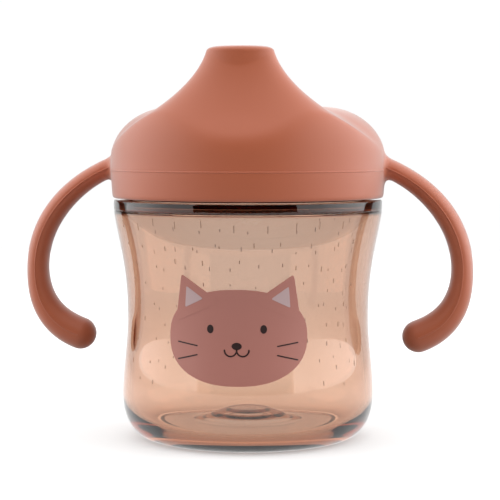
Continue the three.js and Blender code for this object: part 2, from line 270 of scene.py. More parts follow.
def buildGrainGroup():
    # fine moulded grain: a normal, a colour that drifts a little and a roughness that varies
    tree = bpy.data.node_groups.new("mouldedGrain", "ShaderNodeTree")
    groupSocket(tree, "Base Color", "NodeSocketColor", True, (0.8, 0.8, 0.8, 1))
    groupSocket(tree, "Grain Size", "NodeSocketFloat", True, 2600)
    groupSocket(tree, "Grain Depth", "NodeSocketFloat", True, 0.1)
    groupSocket(tree, "Colour Drift", "NodeSocketFloat", True, 0.04)
    groupSocket(tree, "Roughness", "NodeSocketFloat", True, 0.5)
    groupSocket(tree, "Roughness Spread", "NodeSocketFloat", True, 0.1)
    groupSocket(tree, "Color", "NodeSocketColor", False)
    groupSocket(tree, "Roughness", "NodeSocketFloat", False)
    groupSocket(tree, "Normal", "NodeSocketVector", False)
    groupIn = tree.nodes.new("NodeGroupInput")
    groupOut = tree.nodes.new("NodeGroupOutput")
    place = addNode(tree, "ShaderNodeTexCoord")

    fine = addNode(tree, "ShaderNodeTexNoise", {"Detail": grainShape["fineDetail"]})
    bump = addNode(tree, "ShaderNodeBump", {"Distance": grainShape["bumpDepth"]})
    connect(
        tree,
        (place, "Object", fine, "Vector"),
        (groupIn, "Grain Size", fine, "Scale"),
        (groupIn, "Grain Depth", bump, "Strength"),
        (fine, "Fac", bump, "Height"),
        (bump, "Normal", groupOut, "Normal"))

    broad = addNode(tree, "ShaderNodeTexNoise", {
        "Scale": grainShape["patchSize"], "Detail": grainShape["patchDetail"]})
    centred = addNode(tree, "ShaderNodeMath", {1: 0.5}, operation="SUBTRACT")
    drift = addNode(tree, "ShaderNodeMath", {2: 1}, operation="MULTIPLY_ADD")
    tint = addNode(tree, "ShaderNodeVectorMath", operation="SCALE")
    spread = addNode(tree, "ShaderNodeMath", operation="MULTIPLY_ADD")
    connect(
        tree,
        (place, "Object", broad, "Vector"),
        (broad, "Fac", centred, 0),
        (centred, 0, drift, 0),
        (groupIn, "Colour Drift", drift, 1),
        (groupIn, "Base Color", tint, 0),
        (drift, 0, tint, "Scale"),
        (tint, "Vector", groupOut, "Color"),
        (centred, 0, spread, 0),
        (groupIn, "Roughness Spread", spread, 1),
        (groupIn, "Roughness", spread, 2),
        (spread, 0, groupOut, "Roughness"))
    return tree


mouldedGrain = buildGrainGroup()


def grainedMaterial(name, look):
    material, tree, shader, output = newMaterial(name)
    grain = addNode(tree, "ShaderNodeGroup", node_tree=mouldedGrain)
    setInputs(grain, {
        "Base Color": (*look["color"], 1), "Grain Size": look["grainSize"],
        "Grain Depth": look["grainDepth"], "Colour Drift": look["drift"],
        "Roughness": look["roughness"], "Roughness Spread": look["spread"]})
    connect(
        tree,
        (grain, "Color", shader, "Base Color"),
        (grain, "Roughness", shader, "Roughness"),
        (grain, "Normal", shader, "Normal"))
    setInputs(shader, {"IOR": look["ior"], "Specular IOR Level": look["specular"]})
    if "sheen" in look:
        setInputs(shader, {
            "Sheen Weight": look["sheen"], "Sheen Roughness": look["sheenRoughness"]})
    if "subsurface" in look:
        setInputs(shader, {
            "Subsurface Weight": look["subsurface"], "Subsurface Radius": look["scatter"],
            "Subsurface Scale": look["scatterDepth"]})
    return material


def srgb(r, g, b):
    def straight(c):
        c /= 255
        return c / 12.92 if c <= 0.04045 else ((c + 0.055) / 1.055) ** 2.4
    return straight(r), straight(g), straight(b)


clearCup = {
    "facets": 240,
    "curveSteps": 22,
    "wall": 2.4,
    "footRadius": 27.5,
    "footWidth": 1.4,
    "footPull": 33.6,
    "bulgeRadius": 37.3,
    "bulgeHeight": 13,
    "bulgePull": 8,
    "waistRadius": 35.65,
    "waistLow": 36,
    "waistHigh": 38,
    "waistPullLow": 9,
    "waistPullHigh": 12.5,
    "shoulderHeight": 67,
    "shoulderPull": (38.9, 61.5),
    "groove": (0.35, 0.5),       # depth and width of the fine groove under the collar
    "collarTop": 70.3,
    "neckRadius": 34.6,
    "boreRadius": 32.4,
    "boreBottom": 71.2,
    "bellyHeight": 66.9,
    "bellyPull": 0.8,
    "mound": [(6, 5.6, 8.2), (10, 4.2, 6.9), (13, 2.4, 4.8), (16, 1.6, 3.9)],   # radius, under, above
    "baseUnder": 1.4,
    "baseRecess": 25.6,
    "floorHeight": 3.6,
    "floorRadius": 26.4,
    "floorPull": (5, 3.2),       # how the wall rounds into the floor
    "floorRound": 0.9,           # corner rounding inside the cup, under its base and at its rim
    "underRound": 0.6,
    "rimRound": 0.8,
    "sharpAngle": 50,
    "roughness": 0.0,
    "ior": 1.54,
    "absorbColor": (0.78, 0.46, 0.223),
    "absorbDensity": 300,
    "waveScale": 60,             # faint waviness of the moulded wall
    "waveDetail": 1,
    "waveStrength": 0.05,
    "waveDepth": 0.0004,         # metres
}


def outerWall():
    # outside of the wall from the foot ring up to the groove under the collar
    c = clearCup
    n = c["curveSteps"]
    bulge, waist = c["bulgeRadius"], c["waistRadius"]
    points = [(c["footRadius"] + c["footWidth"] / 2, 0)]
    points += bezier(points[-1], (c["footPull"], 0), (bulge, c["bulgeHeight"] - c["bulgePull"]),
                     (bulge, c["bulgeHeight"]), n)
    points += bezier(points[-1], (bulge, c["bulgeHeight"] + c["bulgePull"]),
                     (waist, c["waistLow"] - c["waistPullLow"]), (waist, c["waistLow"]), n)
    points.append((waist, c["waistHigh"]))
    points += bezier(points[-1], (waist, c["waistHigh"] + c["waistPullHigh"]), c["shoulderPull"],
                     (cupHigh[0], c["shoulderHeight"]), n)
    return points


def wallRadius(z):
    # outer radius of the cup at a height, for what is printed on it
    points = outerWall()
    for (r0, z0), (r1, z1) in zip(points, points[1:]):
        if z0 <= z <= z1 and z1 > z0:
            return lerp(r0, r1, (z - z0) / (z1 - z0))
    return points[-1][0]


def cupOutline():
    c = clearCup
    n = c["curveSteps"]
    shoulder, rim = cupHigh[0], cupHigh[2]
    outside = (c["waistRadius"], c["bulgeRadius"], shoulder)
    waist, bulge, belly = (radius - c["wall"] for radius in outside)
    foot = c["footRadius"] - c["footWidth"] / 2
    grooveDepth, grooveWidth = c["groove"]
    path = [(0, c["mound"][0][1])]
    path += [(radius, under) for radius, under, above in c["mound"]]
    path += [(c["baseRecess"], c["baseUnder"]), (foot, 0)]
    path = roundedOutline(path, c["underRound"], closed=False)
    path += outerWall()
    path += roundedOutline([
        path[-1], (shoulder - grooveDepth, c["shoulderHeight"] + grooveWidth / 2),
        (shoulder, c["shoulderHeight"] + grooveWidth), (shoulder, c["collarTop"]),
        (c["neckRadius"], c["collarTop"]), (c["neckRadius"], rim), (c["boreRadius"], rim),
        (c["boreRadius"], c["boreBottom"])], c["rimRound"], closed=False)[1:]
    path += bezier(path[-1], (c["boreRadius"], c["boreBottom"] - c["bellyPull"]),
                   (belly, c["bellyHeight"] + c["bellyPull"]), (belly, c["bellyHeight"]), n)
    path += bezier(path[-1], (c["shoulderPull"][0] - c["wall"], c["shoulderPull"][1]),
                   (waist, c["waistHigh"] + c["waistPullHigh"]), (waist, c["waistHigh"]), n)
    path.append((waist, c["waistLow"]))
    path += bezier(path[-1], (waist, c["waistLow"] - c["waistPullLow"]),
                   (bulge, c["bulgeHeight"] + c["bulgePull"]), (bulge, c["bulgeHeight"]), n)
    path += bezier(path[-1], (bulge, c["floorHeight"] + c["floorPull"][1]),
                   (c["floorRadius"] + c["floorPull"][0], c["floorHeight"]),
                   (c["floorRadius"], c["floorHeight"]), n)
    top = [(radius, above) for radius, under, above in reversed(c["mound"])]
    path += roundedOutline([path[-1]] + top + [(0, top[-1][1])], c["floorRound"], closed=False)[1:]
    return path


def clearMaterial():
    c = clearCup
    material, tree, shader, output = newMaterial("clearPlastic")
    setInputs(shader, {
        "Base Color": (1, 1, 1, 1), "Roughness": c["roughness"], "IOR": c["ior"],
        "Transmission Weight": 1})
    absorb = addNode(tree, "ShaderNodeVolumeAbsorption", {
        "Color": (*c["absorbColor"], 1), "Density": c["absorbDensity"]})
    place = addNode(tree, "ShaderNodeTexCoord")
    waves = addNode(tree, "ShaderNodeTexNoise", {"Scale": c["waveScale"], "Detail": c["waveDetail"]})
    bump = addNode(tree, "ShaderNodeBump", {"Strength": c["waveStrength"], "Distance": c["waveDepth"]})
    connect(
        tree,
        (absorb, "Volume", output, "Volume"),
        (place, "Object", waves, "Vector"),
        (waves, "Fac", bump, "Height"),
        (bump, "Normal", shader, "Normal"))
    return material


threadShape = {
    "lead": 12,                # rise in one turn
    "halfRoot": 1.1,
    "halfCrest": 0.5,
    "arc": 140,
    "steps": 70,
    "fade": (-0.02, 0.12),     # shares of its length that each end tapers between
    "endHeight": 0.05,
    "sink": 0.4,               # how far the ridge starts inside the wall it stands on
    "cupCrest": 36.2,
    "cupStart": 75.4,
    "lidSink": 0.3,
    "lidCrest": 35.1,
    "lidStart": 72.7,
}


def threadRidge(name, rootRadius, crestRadius, startHeight, phase):
    # one helical ridge with tapered ends
    t = threadShape
    halfRoot, halfCrest = t["halfRoot"], t["halfCrest"]
    rings = []
    for i in range(t["steps"] + 1):
        share = i / t["steps"]
        turn = math.radians(t["arc"]) * i / t["steps"]
        angle = turn + phase
        z = startHeight + t["lead"] * turn / (2 * math.pi)
        taper = smoothStep(*t["fade"], share) * smoothStep(*t["fade"], 1 - share)
        crest = lerp(rootRadius, crestRadius, max(taper, t["endHeight"]))
        corners = [(rootRadius, -halfRoot), (crest, -halfCrest), (crest, halfCrest),
                   (rootRadius, halfRoot)]
        if crestRadius > rootRadius:
            corners.reverse()
        rings.append([(*polar(r, angle), z + lift) for r, lift in corners])
    return loft(name, rings)


def buildCup(material):
    cup = spin("cupShell", cupOutline(), clearCup["facets"])
    for phase in (0, math.pi):
        ridge = threadRidge("neckThread", clearCup["neckRadius"] - threadShape["sink"],
                            threadShape["cupCrest"], threadShape["cupStart"], phase)
        boolean(cup, ridge, "UNION")
    return finishPiece(cup, "cup", material, ["cup_body"], clearCup["sharpAngle"])


lidShape = {
    "facets": 200,
    "bottom": 70.9,
    "seamHeight": 79,
    "bottomRadius": 39.4,
    "radius": 40.4,
    "innerRadius": 36.7,
    "skin": 2.2,
    "domeFoot": 82,
    "domeRise": 15.5,
    "domeFlat": 22,
    "frontFoot": 84,
    "frontCurve": 0.0075,
    "fillet": 3.5,
    "frontRound": 8,
    "spoutY": -25,
    "tipHeight": 112.7,
    "crown": 1.4,
    "tipHalfWidth": 9.52,
    "depthRatio": 1.7,
    "frontSteepness": 0.06,
    "flareLinear": 0.307,
    "flareSquare": 0.0355,
    "edgeCurve": ((39.75, 0), (39.95, 0.4), (40.02, 1.2)),   # radius and height over the bottom
    "wallPulls": ((40.2, 74.5), (40.4, 77)),
    "roofRings": 70,
    "roofSpread": 1.6,
    "edgeSteps": 6,
    "wallSteps": 10,
    "capRings": 16,
    "capLeast": 0.02,          # share of the tip's width that the last ring keeps
    "crownRound": (6, 0.625),
    "voxel": 0.5,
    "snaps": 2,
    "rootRelax": 0.5,
    "rootSmoothing": 26,
    "sharpAngle": 42,
}


def spoutHeight(x, y, inset):
    s = lidShape
    ratio = s["depthRatio"] + s["frontSteepness"] * max(0, s["spoutY"] - y)
    reach = math.hypot(x, ratio * (y - s["spoutY"]))
    spare = max(0, reach - s["tipHalfWidth"] + inset)
    root = math.sqrt(s["flareLinear"] ** 2 + 4 * s["flareSquare"] * spare)
    return s["tipHeight"] - (root - s["flareLinear"]) / (2 * s["flareSquare"])


def roofHeight(x, y, inset):
    s = lidShape
    radius = math.hypot(x, y)
    out = min(1, max(0, radius - s["domeFlat"]) / (s["radius"] - inset - s["domeFlat"]))
    dome = s["domeFoot"] + (s["domeRise"] - inset) * math.sqrt(1 - out * out)
    lean = max(0, s["radius"] - inset - radius) / s["frontCurve"]
    front = s["frontFoot"] - inset + math.sqrt(lean)
    flank = smoothMin(spoutHeight(x, y, inset), front, s["frontRound"])
    return smoothMax(dome, flank, s["fillet"])


def ellipseRing(halfWidth, front, rear, heightAt, facets):
    middle, halfDepth = (front + rear) / 2, (rear - front) / 2
    ring = []
    for angle in around(facets):
        x = halfWidth * math.cos(angle)
        y = middle + halfDepth * math.sin(angle)
        ring.append((x, y, heightAt(x, y)))
    return ring


def circle(radius, z, facets):
    return ellipseRing(radius, -radius, radius, lambda x, y: z, facets)


def roofRings(inset, tipHalfWidth, count, facets):
    s = lidShape
    outside = s["radius"] - inset
    tipDepth = tipHalfWidth / s["depthRatio"]
    rings = []
    for i in range(count, -1, -1):
        share = (i / count) ** s["roofSpread"]
        spread = 1 - (1 - share) ** 2
        rings.append(ellipseRing(
            lerp(tipHalfWidth, outside, spread),
            lerp(s["spoutY"] - tipDepth, -outside, spread),
            lerp(s["spoutY"] + tipDepth, outside, spread),
            lambda x, y: roofHeight(x, y, inset), facets))
    return rings


def lidOutside():
    s = lidShape
    facets = s["facets"]
    bottom = s["bottom"]
    wall = [(s["bottomRadius"], bottom)]
    wall += bezier(wall[0], *((r, bottom + rise) for r, rise in s["edgeCurve"]), s["edgeSteps"])
    wall += bezier(wall[-1], *s["wallPulls"], (s["radius"], s["seamHeight"]), s["wallSteps"])
    rings = [circle(radius, z, facets) for radius, z in wall]
    rings += roofRings(0, s["tipHalfWidth"], s["roofRings"], facets)
    flatness, roundness = s["crownRound"]
    for i in range(1, s["capRings"] + 1):
        share = 1 - (i / s["capRings"]) ** 2
        halfWidth = s["tipHalfWidth"] * max(s["capLeast"], share)
        depth = halfWidth / s["depthRatio"]
        z = s["tipHeight"] + s["crown"] * (1 - share ** flatness) ** roundness
        rings.append(ellipseRing(halfWidth, s["spoutY"] - depth, s["spoutY"] + depth,
                                 lambda x, y: z, facets))
    return loft("lidShell", rings)


handleShape = {
    "root": (39, 80.2),
    "rootPull": (48, 77.6),
    "outerPullHigh": (63.1, 67),
    "outer": (63.1, 49.5),
    "outerPullLow": (63.1, 40),
    "tipPull": (59, 33.2),
    "tip": (50.4, 30),
    "slim": (2.8, 4.5),        # half thickness and half depth at the root
    "rootFlare": (0.8, 1.2),
    "rootFade": 0.03,
    "arm": (0.4, 0.4),
    "armEnd": 0.4,
    "grip": (1.55, 0.5),
    "gripStart": 0.6,
    "steps": 90,
    "sides": 48,
    "endSteps": 12,
}


def handleLine():
    h = handleShape
    half = h["steps"] // 2
    points = [h["root"]]
    points += bezier(h["root"], h["rootPull"], h["outerPullHigh"], h["outer"], half)
    points += bezier(h["outer"], h["outerPullLow"], h["tipPull"], h["tip"], half)
    return points


def handleSize(along):
    h = handleShape
    root = math.exp(-along / h["rootFade"])
    arm = smoothStep(0, h["armEnd"], along)
    grip = smoothStep(h["gripStart"], 1, along)
    return [size + flare * root + gain * arm + more * grip
            for size, flare, gain, more in zip(h["slim"], h["rootFlare"], h["arm"], h["grip"])]


def handleStations():
    # (centre, direction, share of the length) along the handle's middle line
    line = handleLine()
    lengths = [0]
    for a, b in zip(line, line[1:]):
        lengths.append(lengths[-1] + math.hypot(b[0] - a[0], b[1] - a[1]))
    stations = []
    for i, point in enumerate(line):
        before, after = line[max(i - 1, 0)], line[min(i + 1, len(line) - 1)]
        dx, dz = after[0] - before[0], after[1] - before[1]
        reach = math.hypot(dx, dz)
        stations.append((point, (dx / reach, dz / reach), lengths[i] / lengths[-1]))
    return stations


def handleMesh(name, side):
    sides = handleShape["sides"]
    rings = []

    def ring(centre, direction, halfThick, halfDeep):
        dx, dz = direction
        points = []
        for angle in around(sides):
            out = halfThick * math.cos(angle)
            y = halfDeep * math.sin(angle)
            points.append((side * (centre[0] + dz * out), side * y, centre[1] - dx * out))
        rings.append(points)

    stations = handleStations()
    for centre, direction, along in stations:
        ring(centre, direction, *handleSize(along))
    centre, direction, along = stations[-1]
    halfThick, halfDeep = handleSize(1)
    for i in range(1, handleShape["endSteps"]):
        turn = math.pi / 2 * i / handleShape["endSteps"]
        push = halfThick * math.sin(turn)
        moved = (centre[0] + direction[0] * push, centre[1] + direction[1] * push)
        ring(moved, direction, halfThick * math.cos(turn), halfDeep * math.cos(turn))
    return loft(name, rings)


def plainTube(name, radius, low, high, centre, facets=48):
    return spin(name, [(0, low), (radius, low), (radius, high), (0, high)], facets, centre)


lidInside = {
    "below": 70.2,             # where the cutters start, under the lid
    "slotTop": 88,
    "skirt": (30.2, 31.9, 82.5),         # inner and outer radius, lowest point
    "roofHoles": 91,
    "hollowTip": 2.6,
    "hollowRadius": 38.2,
    "hollowRings": 30,
    "hollow": (90.2, 105),
    "beyond": 45,              # radius outside everything in the lid
    "beyondFacets": 96,
    "facets": 160,
    "ductFacets": 64,
    "socketBottom": 86,
    "socketTop": 93,
    "drink": (-20, 6.5, 8.3),            # y, inner and outer radius of the two sockets
    "vent": (10, 4, 5.6),
    "ventTop": (94, 99),
    "ductTop": 111.4,
    "ductOval": (6.8, 3.4),
    "ductMargin": 1.8,
    "ductSteps": 12,
    "drinkHole": (0.9, 110, 116, 4.6),   # radius, lowest and highest point, spacing
    "drinkHoleFacets": 32,
    "ventHole": (0.6, 92, 100),
    "ventHoleFacets": 24,
}


def spoutDuct(name, radius, margin, bottom):
    n = lidInside

    def section(share, z):
        halfWidth = lerp(radius, n["ductOval"][0] + margin, share)
        halfDepth = lerp(radius, n["ductOval"][1] + margin, share)
        y = lerp(n["drink"][0], lidShape["spoutY"], share)
        return ellipseRing(halfWidth, y - halfDepth, y + halfDepth, lambda a, b: z,
                           n["ductFacets"])

    rings = [section(0, bottom)]
    for i in range(n["ductSteps"] + 1):
        share = i / n["ductSteps"]
        rings.append(section(smoothStep(0, 1, share), lerp(n["socketTop"], n["ductTop"], share)))
    return loft(name, rings)


def lidCavity():
    # everything that is hollow under the roof, as one closed cutter
    s, n, t = lidShape, lidInside, threadShape
    facets = n["facets"]
    inner, outer, low = n["skirt"]
    bore, below, slotTop, top = s["innerRadius"], n["below"], n["slotTop"], n["roofHoles"]
    cavity = spin("lidCavity", [
        (0, below), (bore, below), (bore, slotTop), (outer, slotTop), (outer, low), (inner, low),
        (inner, top), (0, top)], facets)
    dome = [circle(n["hollowRadius"], s["seamHeight"], facets)]
    dome += roofRings(s["skin"], s["tipHalfWidth"] + n["hollowTip"], n["hollowRings"], facets)
    hollow = loft("lidHollow", dome)
    above = plainTube("above", n["beyond"], *n["hollow"], (0, 0), n["beyondFacets"])
    boolean(hollow, above, "INTERSECT")
    boolean(cavity, hollow, "UNION")

    drinkY, drinkInner, drinkOuter = n["drink"]
    ventY, ventInner, ventOuter = n["vent"]
    bottom = n["socketBottom"]
    duct = spoutDuct("ductOutside", drinkOuter, n["ductMargin"], bottom)
    boolean(cavity, duct, "DIFFERENCE")
    tube = plainTube("ventTube", ventOuter, bottom, n["ventTop"][1], (0, ventY))
    boolean(cavity, tube, "DIFFERENCE")
    for phase in (0, math.pi):
        ridge = threadRidge("lidThread", bore + t["lidSink"], t["lidCrest"], t["lidStart"], phase)
        boolean(cavity, ridge, "DIFFERENCE")
    boolean(cavity, spoutDuct("ductInside", drinkInner, 0, bottom - 1), "UNION")
    boolean(cavity, plainTube("ventBore", ventInner, bottom - 1, n["ventTop"][0], (0, ventY)), "UNION")
    return cavity


rootBlend = {
    "start": 30,               # nothing nearer the middle of the lid is rounded
    "stand": 0.6,              # middle of the handle's root, out from the lid's wall
    "halfWidth": 5,
    "halfHeight": 3.5,
    "widthShare": 0.8,
    "reach": (1.2, 3.4),       # full rounding within the first distance, none beyond the second
}


def rootShare(x, y, z):
    # how much of a point of the lid belongs to a handle's rounded root
    b = rootBlend
    if abs(x) < b["start"]:
        return 0
    outward = math.hypot(x, y) - lidShape["radius"] - b["stand"]
    sideways = max(0, abs(y) - b["halfWidth"]) * b["widthShare"]
    upward = max(0, abs(z - lidShape["seamHeight"]) - b["halfHeight"])
    reach = math.hypot(outward, sideways, upward)
    return 1 - smoothStep(*b["reach"], reach)


def buildLid(material):
    s, n = lidShape, lidInside
    outside = lidOutside()
    joinInto(outside, [handleMesh("handleRight", 1), handleMesh("handleLeft", -1)])
    guide = outside.copy()
    guide.data = outside.data.copy()
    bpy.context.scene.collection.objects.link(guide)

    remesh = outside.modifiers.new("skin", "REMESH")
    remesh.mode = "VOXEL"
    remesh.voxel_size = s["voxel"] * mm
    remesh.adaptivity = 0
    applyModifiers(outside)

    # snap back to the true surfaces, but leave the handle roots free to round over
    roots = outside.vertex_groups.new(name="roots")
    away = outside.vertex_groups.new(name="away")
    for vertex in outside.data.vertices:
        near = rootShare(*(c / mm for c in vertex.co))
        roots.add([vertex.index], near, "REPLACE")
        away.add([vertex.index], 1 - near, "REPLACE")
    for _ in range(s["snaps"]):
        snap = outside.modifiers.new("snap", "SHRINKWRAP")
        snap.target = guide
        snap.wrap_method = "NEAREST_SURFACEPOINT"
        snap.vertex_group = "away"
        relax = outside.modifiers.new("relax", "SMOOTH")
        relax.factor = s["rootRelax"]
        relax.iterations = s["rootSmoothing"]
        relax.vertex_group = "roots"
    applyModifiers(outside)
    bpy.data.objects.remove(guide)

    boolean(outside, lidCavity(), "DIFFERENCE")
    *drinkHole, spacing = n["drinkHole"]
    for place in (-1, 0, 1):
        centre = (spacing * place, s["spoutY"])
        hole = plainTube("drinkHole", *drinkHole, centre, n["drinkHoleFacets"])
        boolean(outside, hole, "DIFFERENCE")
    hole = plainTube("ventHole", *n["ventHole"], (0, n["vent"][0]), n["ventHoleFacets"])
    boolean(outside, hole, "DIFFERENCE")
    outside.vertex_groups.clear()
    return finishPiece(outside, "lid", material, ["lid"], s["sharpAngle"])


partingLine = {
    "halfWidth": 0.24,
    "rise": 0.15,
    "first": 3,        # stations of the handle's middle line that the bead starts and ends at
    "sides": 8,
}


def beadRing(centre, across, out):
    # one section of the bead: across the surface and out of it, both unit vectors
    p = partingLine
    ring = []
    for angle in around(p["sides"]):
        along, rise = p["halfWidth"] * math.cos(angle), p["rise"] * math.sin(angle)
        ring.append(tuple(c + a * along + o * rise for c, a, o in zip(centre, across, out)))
    return ring


def buildPartingLine(material):
    # fine raised line that the mould leaves round the lid's wall and down both faces of each handle
    p, s = partingLine, lidShape
    rows = []
    facets = s["facets"]
    for angle in around(facets):
        out = (*polar(1, angle), 0)
        middle = (s["radius"] * out[0], s["radius"] * out[1], s["seamHeight"])
        rows.append(beadRing(middle, (0, 0, 1), out))
    verts = [v for row in rows for v in row]
    ids = [range(i * p["sides"], (i + 1) * p["sides"]) for i in range(facets)]
    beads = makeMesh("partingLine", verts, stitch(ids, True))
    lines = []
    for side in (-1, 1):
        for face in (-1, 1):
            rings = []
            for centre, direction, along in handleStations()[p["first"]:]:
                middle = (side * centre[0], face * handleSize(along)[1], centre[1])
                across = (side * direction[1], 0, -direction[0])
                rings.append(beadRing(middle, across, (0, face, 0)))
            lines.append(loft("handleLine", rings))
    joinInto(beads, lines, turnOutward=True)
    return finishPiece(beads, "lid", material, sharpAngle=60)


lidLook = {
    "color": (0.585, 0.135, 0.05),
    "grainSize": 3200,
    "grainDepth": 0.25,
    "drift": 0.05,
    "roughness": 0.48,
    "spread": 0.08,
    "ior": 1.5,
    "specular": 0.7,
    "sheen": 0.9,
    "sheenRoughness": 0.45,
}


siliconeLook = {
    "color": srgb(226, 220, 210),
    "grainSize": 1800,
    "grainDepth": 0.15,
    "drift": 0.03,
    "roughness": 0.5,
    "spread": 0.08,
    "ior": 1.41,
    "specular": 0.5,
    "subsurface": 0.3,
    "scatter": (1.0, 0.9, 0.8),
    "scatterDepth": 0.002,
}


sealShape = {
    "width": 4,
    "groove": (0.4, 0.35),     # depth and half height of the groove round each side
    "round": 0.3,
    "facets": 180,
}


def buildSeal(material):
    low, high = sealLow[2], sealHigh[2]
    outer, inner = sealHigh[0], sealHigh[0] - sealShape["width"]
    depth, half = sealShape["groove"]
    middle = (low + high) / 2
    outline = roundedOutline([
        (inner, low), (outer, low), (outer, middle - half), (outer - depth, middle),
        (outer, middle + half), (outer, high), (inner, high), (inner, middle + half),
        (inner + depth, middle), (inner, middle - half)], sealShape["round"])
    ring = spin("sealRing", outline, sealShape["facets"])
    return finishPiece(ring, "seal", material, ["seal_ring"])


valveShape = {
    "thickness": 1.6,
    "drink": (-20, 6.2, 4.6, 8.3),       # y, then radius of the plug, its bore and its flange
    "vent": (10, 3.7, 2.3, 5.6),
    "ventTop": 90.4,
    "grip": (3.4, 3.8, 4.2, 0.35),       # heights and depth of the groove round each plug
    "plugRound": 0.25,
    "plugFacets": 72,
    "strapHalf": 4,
    "strapStart": -15,
    "strapFacets": 24,
}


def valvePlug(name, shape, top):
    y, outer, bore, flange = shape
    low = valveLow[2]
    step = low + valveShape["thickness"]
    first, middle, last, depth = valveShape["grip"]
    outline = roundedOutline([
        (bore, low), (flange, low), (flange, step), (outer, step), (outer, low + first),
        (outer - depth, low + middle), (outer, low + last), (outer, top), (bore, top)],
        valveShape["plugRound"])
    return spin(name, outline, valveShape["plugFacets"], (0, y))


def buildValve(material):
    v = valveShape
    low, half, tabEnd = valveLow[2], v["strapHalf"], valveHigh[1]
    valve = valvePlug("valvePlugs", v["drink"], valveHigh[2])
    boolean(valve, valvePlug("ventPlug", v["vent"], v["ventTop"]), "UNION")
    start, middle = v["strapStart"], tabEnd - half
    outline = [(-half, start), (half, start), (half, middle)]
    for i in range(1, v["strapFacets"]):
        x, y = polar(half, math.pi * i / v["strapFacets"])
        outline.append((x, middle + y))
    outline.append((-half, middle))
    rings = []
    edge, thickness = v["plugRound"], v["thickness"]
    for inset, rise in ((edge, 0), (0, edge), (0, thickness - edge), (edge, thickness)):
        rings.append([(x * (1 - inset / half), y, low + rise) for x, y in outline])
    strap = loft("valveStrap", rings)
    for y, outer, bore, flange in (v["drink"], v["vent"]):
        hole = plainTube("bore", bore, low - 1, low + 4, (0, y), v["plugFacets"])
        boolean(strap, hole, "DIFFERENCE")
    boolean(valve, strap, "UNION")
    finishPiece(valve, "valve", material, ["valve_body"])


lipShape = {
    "radius": 4.3,
    "halfSlit": 0.15,
    "round": 0.18,
    "facets": 40,
    "slitRound": 0.4,          # share of the rounding that the straight edge gets
    "flapRadius": 2,
    "flapRound": 0.2,
    "flapFacets": 48,
}


def buildLips(material):
    shape = lipShape
    radius, slit, edge = shape["radius"], shape["halfSlit"], shape["round"]
    drinkY, ventY = valveShape["drink"][0], valveShape["vent"][0]
    for node, body, side in (("drink_lip_left", "lip_left", -1), ("drink_lip_right", "lip_right", 1)):
        low, high = nodeBox(node)
        bottom, top = low[2], high[2]
        reach = math.acos(slit / radius)
        levels = ((edge, bottom), (0, bottom + edge), (0, (bottom + top) / 2), (0, top - edge),
                  (edge, top))
        rings = []
        for inset, z in levels:
            ring = []
            for i in range(shape["facets"] + 1):
                angle = lerp(-reach, reach, i / shape["facets"])
                x = max(slit + inset * shape["slitRound"], (radius - inset) * math.cos(angle))
                ring.append((side * x, drinkY + side * (radius - inset) * math.sin(angle), z))
            rings.append(ring)
        finishPiece(loft(node + "_soft", rings), body, material, [node])
    low, high = nodeBox("vent_flap")
    reach = shape["flapRadius"]
    outline = [(0, low[2]), (reach, low[2]), (reach, high[2]), (0, high[2])]
    outline = roundedOutline(outline, shape["flapRound"], closed=False)
    flap = spin("ventFlapSoft", outline, shape["flapFacets"], (0, ventY))
    finishPiece(flap, "flap", material, ["vent_flap"])


printShape = {
    "lift": 0.03,          # gap between wall and ink, and the ink's thickness
    "ink": 0.05,
    "layerGap": 0.01,
    "centreZ": 33.2,
    "headHalfWidth": 19.2,
    "headHalfHeight": 13.4,
    "headSquareness": 2.35,    # 2 is an ellipse
    "headSides": 96,
    "strokeEnd": 6,            # facets of a stroke's round end
    "widest": 0.98,            # sine of the furthest angle round the cup that ink is placed at
    "gridSize": 0.9,           # a patch is cut this fine so that it follows the wall
    "gridLast": 0.3,           # share of a cut that may be left over at the end
}


def onWall(x, z, height):
    # puts a flat design on the front of the cup, x measured straight across
    radius = wallRadius(z) + height
    widest = printShape["widest"]
    angle = math.asin(max(-widest, min(widest, x / wallRadius(z))))
    return radius * math.sin(angle), -radius * math.cos(angle), z


def inkPatch(name, outline, layer, material):
    # a thin closed patch that follows the wall
    bm = bmesh.new()
    loop = [bm.verts.new((x, 0, z)) for x, z in outline]
    edges = [bm.edges.new((loop[i], loop[(i + 1) % len(loop)])) for i in range(len(loop))]
    bmesh.ops.triangle_fill(bm, edges=edges, use_beauty=True, normal=(0, -1, 0))
    xs = [p[0] for p in outline]
    zs = [p[1] for p in outline]
    size = printShape["gridSize"]
    for axis, low, high in (((1, 0, 0), min(xs), max(xs)), ((0, 0, 1), min(zs), max(zs))):
        place = low + size
        while place < high - size * printShape["gridLast"]:
            everything = bm.verts[:] + bm.edges[:] + bm.faces[:]
            bmesh.ops.bisect_plane(
                bm, geom=everything, plane_co=[a * place for a in axis], plane_no=axis)
            place += size
    bmesh.ops.recalc_face_normals(bm, faces=bm.faces)
    base = printShape["lift"] + layer * (printShape["ink"] + printShape["layerGap"])
    flat = [(v.co.x, v.co.z) for v in bm.verts]
    bm.verts.index_update()
    faces = []
    for face in bm.faces:
        ring = [v.index for v in face.verts]
        faces.append(ring if face.normal.y < 0 else ring[::-1])
    rims = [[v.index for v in e.verts] for e in bm.edges if len(e.link_faces) == 1]
    sides = {pair for ring in faces for pair in zip(ring, ring[1:] + ring[:1])}
    bm.free()
    count = len(flat)
    verts = [onWall(x, z, height) for height in (base + printShape["ink"], base) for x, z in flat]
    solid = list(faces) + [[i + count for i in reversed(ring)] for ring in faces]
    for a, b in rims:
        if (a, b) not in sides:
            a, b = b, a
        solid.append([b, a, a + count, b + count])
    patch = makeMesh(name, verts, solid)
    return finishPiece(patch, "cup", material, sharpAngle=60)


